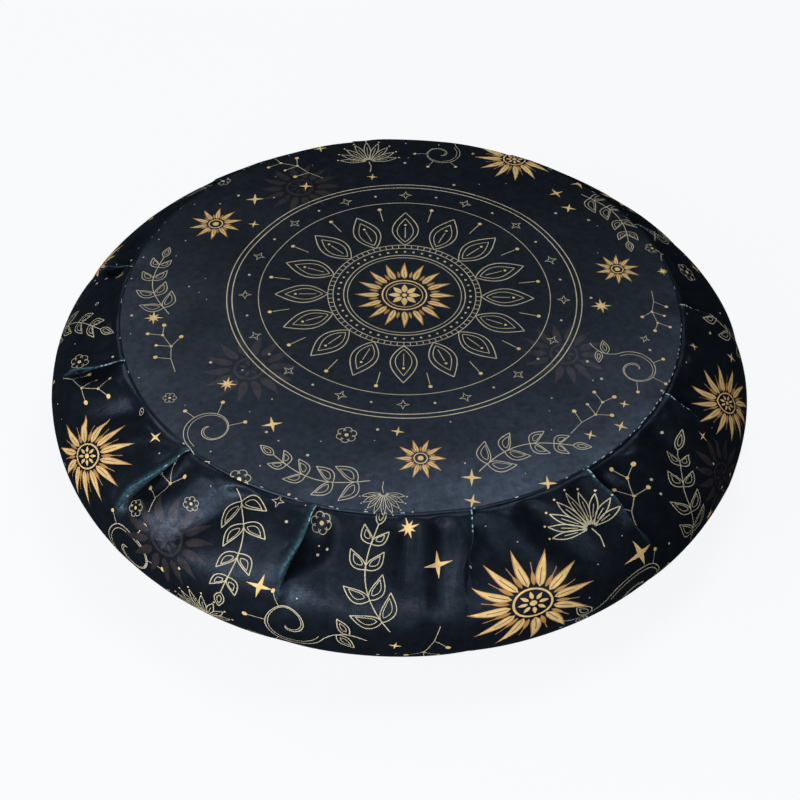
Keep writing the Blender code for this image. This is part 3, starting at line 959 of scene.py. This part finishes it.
def seam_dashes():
    """Pale short dashes round the top panel's rim, more of them on one side: partly the seam's
    stitching showing, partly a painted highlight.
    """
    picker = random.Random(21)
    shapes = []
    angle = -180.0
    while angle < 180:
        length, gap = picker.uniform(*SEAM_DASHES), picker.uniform(*SEAM_GAPS)
        shown = DASHES_LEAST + DASHES_MORE * hump((angle - DASHES_AT) / DASHES_WIDTH)
        if picker.random() < shown:
            radius = picker.uniform(*SEAM_RADII)
            shapes += line(arc(radius, angle, angle + length, 2), SEAM_DASH_WIDTH, THREAD_AND_HIGHLIGHT)
        angle += length + gap
    return shapes


# The folds' dashes: lengths, gaps and width; from where to where they run, and how far to the
# left of the folded edge. All in mm. Their share falls from the most by 1 over this distance.
FOLD_DASHES, FOLD_GAPS, FOLD_HIGHLIGHT_WIDTH = (1.0, 2.6), (0.4, 1.6), 1.2
FOLD_START, FOLD_END, FOLD_BESIDE = 0.6, 15, 1.0
FOLD_MOST, FOLD_FEWER = 1.2, 14


def fold_dashes(start, girth):
    """Painted highlights: pale dashes on the first few millimetres of each folded edge."""
    picker = random.Random(8)
    shapes = []
    for pleat in pleats:
        far = FOLD_START
        while far < FOLD_END:
            length, gap = picker.uniform(*FOLD_DASHES), picker.uniform(*FOLD_GAPS)
            lines = np.array([far, far + length]) / 1000
            x = strip_at(pleat["angle"]) + 1000 * fold_line(pleat, lines) - FOLD_BESIDE
            x = start + (x - start) % girth
            if picker.random() < FOLD_MOST - far / FOLD_FEWER:
                shapes += line([(x[0], far), (x[1], far + length)], FOLD_HIGHLIGHT_WIDTH, THREAD_AND_HIGHLIGHT)
            far += length + gap
    return shapes


def base_print():
    shapes = big_bloom(0.9)
    for step, (x, y) in enumerate(arc(98, 20, 380, 7)[:-1]):
        motif = (small_bloom, sprig, scroll)[step % 3]
        shapes += moved(motif(0.9), x, y, 50 * step)
    return shapes + scattered(shapes, in_disc(148), motifs=40, dots=80, seed=12)


# Cutting the print into the cloth


def clip(polygon, cell):
    """The part of a convex polygon that lies in a convex cell. Both run anticlockwise."""
    for here, there in zip(cell, cell[1:] + cell[:1]):
        east, north = there[0] - here[0], there[1] - here[1]
        kept = []
        last = polygon[-1]
        last_in = east * (last[1] - here[1]) - north * (last[0] - here[0])
        for point in polygon:
            point_in = east * (point[1] - here[1]) - north * (point[0] - here[0])
            if (point_in >= 0) != (last_in >= 0):
                part = last_in / (last_in - point_in)
                x, y = last[0] + part * (point[0] - last[0]), last[1] + part * (point[1] - last[1])
                kept.append((x, y))
            if point_in >= 0:
                kept.append(point)
            last, last_in = point, point_in
        if len(kept) < 3:
            return []
        polygon = kept
    return polygon


def anticlockwise(corners):
    x, y = corners[:, 0], corners[:, 1]
    area = (x * np.roll(y, -1) - y * np.roll(x, -1)).sum()
    return corners if area > 0 else corners[::-1]


# Corners closer together than this in mm are one, and triangles under this in mm2 are left out.
SAME_PLACE, LEAST_CUT = 1e-5, 5e-7


def triangulated(cell, found_in_it):
    """The cell's triangles, cut along the polygons, with the ink of the last one over each."""
    inks = [CLOTH] + [ink for ink, polygon in found_in_it]
    points, faces = [], []
    for polygon in [cell] + [polygon for ink, polygon in found_in_it]:
        faces.append(list(range(len(points), len(points) + len(polygon))))
        points += polygon
    found, _, triangles, _, _, origins = delaunay_2d_cdt(points, [], faces, 0, SAME_PLACE)
    parts = []
    for triangle, origin in zip(triangles, origins):
        a, b, c = [found[i] for i in triangle]
        if 0 in origin and abs((b - a).cross(c - a)) > 2 * LEAST_CUT:
            parts.append((inks[max(origin)], (tuple(a), tuple(b), tuple(c))))
    return parts


BUCKET = 4.0


def buckets_over(points):
    """The square buckets that a polygon's box touches."""
    corners = np.floor(np.array(points) / BUCKET).astype(int)
    low, high = corners.min(axis=0), corners.max(axis=0)
    return [(i, j) for i in range(low[0], high[0] + 1) for j in range(low[1], high[1] + 1)]


def printed(cells, shapes):
    """Flat triangles over all the cells, with the ink of each."""
    buckets = {}
    for number, cell in enumerate(cells):
        for bucket in buckets_over(cell):
            buckets.setdefault(bucket, []).append(number)
    inside = [[] for cell in cells]
    for ink, corners in shapes:
        polygon = [tuple(corner) for corner in anticlockwise(corners).tolist()]
        near = set()
        for bucket in buckets_over(polygon):
            near.update(buckets.get(bucket, ()))
        for number in near:
            kept = clip(polygon, cells[number])
            if kept:
                inside[number].append((ink, kept))
    corners, inks = [], []
    for cell, found in zip(cells, inside):
        parts = [(CLOTH, (cell[0], *pair)) for pair in zip(cell[1:], cell[2:])]
        for ink, triangle in triangulated(cell, found) if found else parts:
            corners.append(triangle)
            inks.append(ink)
    return np.array(corners, float), np.array(inks)


def grid_cells(lines, others):
    """Rectangular cells between two sets of grid lines."""
    cells = []
    for left, right in zip(lines, lines[1:]):
        for low, high in zip(others, others[1:]):
            cells.append([(left, low), (right, low), (right, high), (left, high)])
    return cells


def disc_cells(radii):
    """Four-sided cells that fill a disc in concentric rings."""
    count = len(radii)
    steps = list(range(-count, count + 1))

    def point(a, b):
        ring = max(abs(a), abs(b))
        if not ring:
            return (0.0, 0.0)
        radius = radii[ring - 1]
        if abs(a) >= abs(b):
            angle = math.pi / 4 * b / a + (math.pi if a < 0 else 0)
        else:
            angle = math.pi / 2 - math.pi / 4 * a / b + (math.pi if b < 0 else 0)
        return tuple(float(value) for value in polar(radius, angle))

    cells = []
    for a in steps[:-1]:
        for b in steps[:-1]:
            cells.append([point(a, b), point(a + 1, b), point(a + 1, b + 1), point(a, b + 1)])
    return cells


# Triangles under this area in mm2 are slivers.
SLIVER = 0.001


def cloth_mesh(name, corners, inks, points_of, **values):
    """The printed cloth as a mesh. points_of gives places and normals for flat points, and
    each of the values a number for each of them, which its material uses."""
    flat = np.round(corners.reshape(-1, 2), 4)
    flat, index = np.unique(flat, axis=0, return_inverse=True)
    faces = index.reshape(-1, 3)
    # Slivers are left out, because their corners would turn the cloth's normals.
    first, second = flat[faces[:, 1]] - flat[faces[:, 0]], flat[faces[:, 2]] - flat[faces[:, 0]]
    area = np.abs(first[:, 0] * second[:, 1] - first[:, 1] * second[:, 0]) / 2
    faces, inks = faces[area > SLIVER], inks[area > SLIVER]
    places, normals = points_of(flat)
    item = plain_mesh(name, places.tolist(), faces.tolist())
    data = item.data
    data.polygons.foreach_set("material_index", inks.astype(np.int32))
    data.shade_smooth()
    layer = data.uv_layers.new(name="Cloth")
    layer.data.foreach_set("uv", (flat[faces.ravel()] / 1000).astype(np.float32).ravel())
    for value_name, value_of in values.items():
        layer = data.attributes.new(value_name, "FLOAT", "POINT")
        layer.data.foreach_set("value", value_of(flat).astype(np.float32))
    data.validate()
    data.normals_split_custom_set_from_vertices(normals.tolist())
    return item


def with_normals(surface, facing=1, step=0.05):
    """A function that gives a surface's points and its normals, which face up or down."""

    def points_of(flat):
        east = surface(flat + (step, 0)) - surface(flat - (step, 0))
        north = surface(flat + (0, step)) - surface(flat - (0, step))
        return surface(flat), unit(np.cross(east, north) * facing)

    return points_of


def step_and_share(lines, places):
    """The line before each place, and how far the place lies from it to the next line."""
    step = np.clip(np.searchsorted(lines, places, side="right") - 1, 0, len(lines) - 2)
    share = (places - lines[step]) / (lines[step + 1] - lines[step])
    return step, np.clip(share, 0, 1)[:, None]


class Sampled:
    """A surface given by a grid of values over two sets of lines."""

    def __init__(self, strip, down, grid):
        self.strip, self.down = strip, down
        places = grid[:, :, :3]
        # The strip closes on itself, so the differences across its ends wrap.
        before = np.concatenate([places[-2:-1], places[:-1]])
        after = np.concatenate([places[1:], places[1:2]])
        along = after - before
        across = np.gradient(places, down, axis=1)
        normals = unit(np.cross(across, along))
        self.values = np.concatenate([places, normals, grid[:, :, 3:]], axis=2)

    def at(self, flat):
        (i, u), (j, v) = step_and_share(self.strip, flat[:, 0]), step_and_share(self.down, flat[:, 1])
        low = self.values[i, j] * (1 - u) + self.values[i + 1, j] * u
        high = self.values[i, j + 1] * (1 - u) + self.values[i + 1, j + 1] * u
        return low * (1 - v) + high * v

    def points_of(self, flat):
        values = self.at(flat)
        return values[:, :3], unit(values[:, 3:6])

    def edge_of(self, flat):
        return self.at(flat)[:, 6]


# Materials


NOISE_ROUGHNESS = 0.62
NOISE_LOW, NOISE_HIGH = 0.3, 0.7


class Finish:
    """A new material and its shader nodes."""

    def __init__(self, name):
        self.material = bpy.data.materials.new(name)
        self.material.use_nodes = True
        self.tree = self.material.node_tree
        self.shader = self.tree.nodes["Principled BSDF"]

    def fill(self, node, values):
        """Fills a node's sockets with numbers, colours or the outputs of other nodes."""
        for socket, value in values.items():
            if isinstance(value, bpy.types.NodeSocket):
                self.tree.links.new(value, node.inputs[socket])
            else:
                node.inputs[socket].default_value = value

    def add(self, kind, output, values, **settings):
        """The output of a new node with these settings and values."""
        node = self.tree.nodes.new("ShaderNode" + kind)
        for setting, value in settings.items():
            setattr(node, setting, value)
        self.fill(node, values)
        return node.outputs[output]

    def noise(self, scale, detail):
        """A noise texture's value, over the object's own metres."""
        place = self.add("TexCoord", "Object", {})
        values = {"Vector": place, "Scale": scale, "Detail": detail, "Roughness": NOISE_ROUGHNESS}
        return self.add("TexNoise", "Fac", values)

    def spread(self, value, low, high):
        """The middle of a noise's range stretched between two values."""
        values = {"Value": value, "From Min": NOISE_LOW, "From Max": NOISE_HIGH}
        return self.add("MapRange", "Result", {**values, "To Min": low, "To Max": high})

    def stored(self, name):
        """The value of one of the cloth's own attributes."""
        return self.add("Attribute", "Fac", {}, attribute_name=name)

    def combined(self, operation, *values):
        """A math node over numbers and sockets."""
        return self.add("Math", "Value", dict(enumerate(values)), operation=operation)


# Scale and detail of the noises: speckled gloss, lie of the pile, mottled colour, edges rubbed
# and painted with sheen, and grain.
SPECKLE, LIE, MOTTLE, BROKEN, GRAIN = (260, 5), (38, 6), (150, 6), (560, 3), (900, 3)
# How far the noises move the gloss, the roughness, and the folded edges' rub and painted sheen.
SPECKLE_RANGE, LIE_RANGE, BROKEN_RANGE = (0.60, 1.40), 0.07, (0.10, 1.45)
# Gloss where the pile isn't brushed, what full brushing adds, and gloss seen face on and edge on.
UNBRUSHED, BRUSHED = 0.62, 1.15
FACE_ON, EDGE_ON = 1.08, 0.0
SHEEN, SHEEN_ROUGHNESS = 0.05, 0.35
# The teal of the folded edges: partly rubbed pile, partly a painted sheen.
FOLD_TEAL = (0.050, 0.120, 0.165)
GRAIN_STRENGTH, GRAIN_DEPTH = 0.35, 0.0004


def velour(name, colour, tint, roughness, gloss, mottle, wear_and_sheen=1.0):
    """Short-pile printed velour. The pile's lie varies a little from place to place."""
    pile = Finish(name)
    speckle = pile.spread(pile.noise(*SPECKLE), *(end * gloss for end in SPECKLE_RANGE))
    brushed = pile.combined("MULTIPLY_ADD", pile.stored("nap"), BRUSHED, UNBRUSHED)
    brushed = pile.combined("MULTIPLY", brushed, speckle)
    facing = pile.spread(pile.add("LayerWeight", "Facing", {}), FACE_ON, EDGE_ON)
    lie = pile.spread(pile.noise(*LIE), roughness - LIE_RANGE, roughness + LIE_RANGE)
    mottled = pile.spread(pile.noise(*MOTTLE), 1 - mottle, 1 + mottle)
    colours = {"Factor": 1, "A": (*colour, 1), "B": mottled}
    tinted = pile.add("Mix", "Result", colours, data_type="RGBA", blend_type="MULTIPLY")
    # The folded edges turn teal: partly rubbed pile, partly a painted sheen.
    broken = pile.spread(pile.noise(*BROKEN), *(end * wear_and_sheen for end in BROKEN_RANGE))
    worn_and_sheen = pile.combined("MULTIPLY", pile.stored("fold_edge"), broken)
    colours = {"Factor": worn_and_sheen, "A": tinted, "B": (*FOLD_TEAL, 1)}
    grain = {"Strength": GRAIN_STRENGTH, "Distance": GRAIN_DEPTH, "Height": pile.noise(*GRAIN)}
    values = {
        "Base Color": pile.add("Mix", "Result", colours, data_type="RGBA", clamp_factor=True),
        "Roughness": lie,
        "Specular IOR Level": pile.combined("MULTIPLY", brushed, facing),
        "Specular Tint": (*tint, 1),
        "Sheen Weight": SHEEN,
        "Sheen Roughness": SHEEN_ROUGHNESS,
        "Sheen Tint": (*tint, 1),
        "Normal": pile.add("Bump", "Normal", grain),
    }
    pile.fill(pile.shader, values)
    return pile.material


def printed_piece(name, cells, shapes, ground, points_of, facing=1, **values):
    """A piece of cloth with its print. Its materials are in the order of the ink numbers."""
    corners, inks = printed(cells, shapes)
    item = cloth_mesh(name, corners[:, ::facing], inks, points_of, **values)
    for material in (ground, gold, cream, ghost, thread_and_highlight, amber):
        item.data.materials.append(material)
    return item


# Building the pieces

strip, down, grid = band_surface()
grid = settled(strip, down, grid)
band_sampled = Sampled(strip, down, grid)

PILE_LIGHT = (0.30, 0.41, 0.60)
GROUND = (0.0065, 0.0092, 0.0138)
# The band's ground is the top's colour made a little darker: painted shade.
SHADED_BAND_GROUND = (0.0058, 0.0084, 0.0130)
top_ground = velour("top_velour", GROUND, PILE_LIGHT, 0.44, 0.50, 0.30)
band_ground = velour("band_velour", SHADED_BAND_GROUND, PILE_LIGHT, 0.38, 0.54, 0.30)
base_ground = velour("base_velour", GROUND, PILE_LIGHT, 0.44, 0.50, 0.30)

gold = velour("gold_print", (0.84, 0.60, 0.27), (1, 0.9, 0.7), 0.60, 0.30, 0.20, 0.6)
amber = velour("amber_print", (0.50, 0.27, 0.10), (1, 0.8, 0.6), 0.60, 0.30, 0.20, 0.6)
cream = velour("cream_print", (0.56, 0.51, 0.37), (1, 0.95, 0.8), 0.60, 0.30, 0.25, 0.6)
ghost = velour("ghost_print", (0.0270, 0.0225, 0.0250), (0.37, 0.42, 0.56), 0.43, 0.62, 0.45)
# Pale dashes: partly stitching, partly painted highlights.
thread_and_highlight = velour("seam_thread_and_highlight", (0.42, 0.55, 0.63), (0.8, 0.9, 1.0), 0.50, 0.30, 0.40, 0.1)

top_radii = [4.0 * n for n in range(1, 38)] + [151.5, 155.0, 157.6, 158.8, 159.3, 159.9, RIM_END]
base_radii = [8.0 * n for n in range(1, 18)] + [141, 145, 148, 150, 152]
top = printed_piece(
    "top_cloth",
    disc_cells(top_radii),
    top_print(),
    top_ground,
    with_normals(top_surface),
    nap=brushed_rim,
)
band = printed_piece(
    "band_cloth",
    grid_cells(strip.tolist(), down.tolist()),
    band_print(strip),
    band_ground,
    band_sampled.points_of,
    facing=-1,
    fold_edge=band_sampled.edge_of,
    nap=brushed_folds,
)
base = printed_piece(
    "base_cloth",
    disc_cells(base_radii),
    base_print(),
    base_ground,
    with_normals(base_surface, facing=-1),
    facing=-1,
)

for piece, node, slot, fill in (
    (top, "top_panel", "panel_cloth", 0.85),
    (band, "side_band", "band_cloth", 0.85),
    (base, "bottom_panel", "base_cloth", 0.85),
):
    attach(piece, "root")
    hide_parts(node)

# Stage

PAPER = {
    "Base Color": (0.08, 0.08, 0.08, 1),
    "Roughness": 0.9,
    "Specular IOR Level": 0.1,
    "Emission Color": (0.975, 0.983, 1.0, 1),
    "Emission Strength": 0.915,
}
floor = level_square("floor", 6.0)
paper = Finish("paper")
paper.fill(paper.shader, PAPER)
floor.data.materials.append(paper.material)
# The floor throws no light back up under the cushion.
floor.visible_diffuse = False
floor.visible_glossy = False
floor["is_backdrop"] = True

# Softboxes round the cushion: bearing from +X and height in degrees, watts, colour.
WARM, COOL = (1.0, 0.985, 0.96), (0.95, 0.98, 1.0)
LIGHTS = (
    (-125, 10, 10.5, WARM),
    (-150, 12, 3.4, WARM),
    (-94, 10, 4.4, WARM),
    (-64, 10, 4.0, WARM),
    (-142, 42, 2.6, WARM),
    (-90, 42, 1.2, WARM),
    (62, 74, 6.6, COOL),
    (118, 46, 2.0, COOL),
    (58, 50, 1.2, COOL),
)
LIGHT_DISTANCE = 1.5
LIGHT_SIZE = 0.45
for number, (bearing, height, power, colour) in enumerate(LIGHTS):
    data = bpy.data.lights.new(f"softbox_{number}", "AREA")
    data.shape = "SQUARE"
    data.size = LIGHT_SIZE
    data.energy = power
    data.color = colour
    lamp = placed(data.name, data)
    height = math.radians(height)
    way = Vector((*polar(math.cos(height), math.radians(bearing)), math.sin(height)))
    lamp.location = way * LIGHT_DISTANCE
    lamp.rotation_euler = (-way).to_track_quat("-Z", "Y").to_euler()

world = bpy.data.worlds.new("studio")
world.use_nodes = True
backdrop = world.node_tree.nodes["Background"]
backdrop.inputs["Color"].default_value = (0.94, 0.96, 0.98, 1)
backdrop.inputs["Strength"].default_value = 0.015
bpy.context.scene.world = world

# Camera
CAMERA_DISTANCE = 2.6
CAMERA_ELEVATION = math.radians(42.4)
CAMERA_ROLL = math.radians(0.8)
PIXELS_PER_METRE = 1739.0
TARGET = np.array([0.0, 0.0, 0.05])
IMAGE = 800
SENSOR = 36
# Where the target lies in the image, in pixels from its left and top sides.
TARGET_ACROSS, TARGET_DOWN = 399.8, 377.5

back = np.array([0, -math.cos(CAMERA_ELEVATION), math.sin(CAMERA_ELEVATION)])
right = np.array([1.0, 0, 0])
up = np.cross(back, right)
rolled_right = math.cos(CAMERA_ROLL) * right + math.sin(CAMERA_ROLL) * up
rolled_up = math.cos(CAMERA_ROLL) * up - math.sin(CAMERA_ROLL) * right
eye = TARGET + CAMERA_DISTANCE * back
camera_data = bpy.data.cameras.new("camera")
camera_data.sensor_width = SENSOR
camera_data.lens = PIXELS_PER_METRE * CAMERA_DISTANCE / IMAGE * SENSOR
camera_data.shift_x = (IMAGE / 2 - TARGET_ACROSS) / IMAGE
camera_data.shift_y = (TARGET_DOWN - IMAGE / 2) / IMAGE
camera_data.clip_end = 50
camera = placed("camera", camera_data)
turn = Matrix([[rolled_right[i], rolled_up[i], back[i]] for i in range(3)])
camera.matrix_world = Matrix.Translation(eye.tolist()) @ turn.to_4x4()
bpy.context.scene.camera = camera
bpy.context.scene.view_settings.view_transform = "Standard"


def plain(value):
    """Vectors and arrays inside the value as lists."""
    if isinstance(value, (int, float, str, type(None))):
        return value
    if isinstance(value, dict):
        return {key: plain(part) for key, part in value.items()}
    return [plain(part) for part in value]


{"before": plain(size_before), "after": plain(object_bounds())}
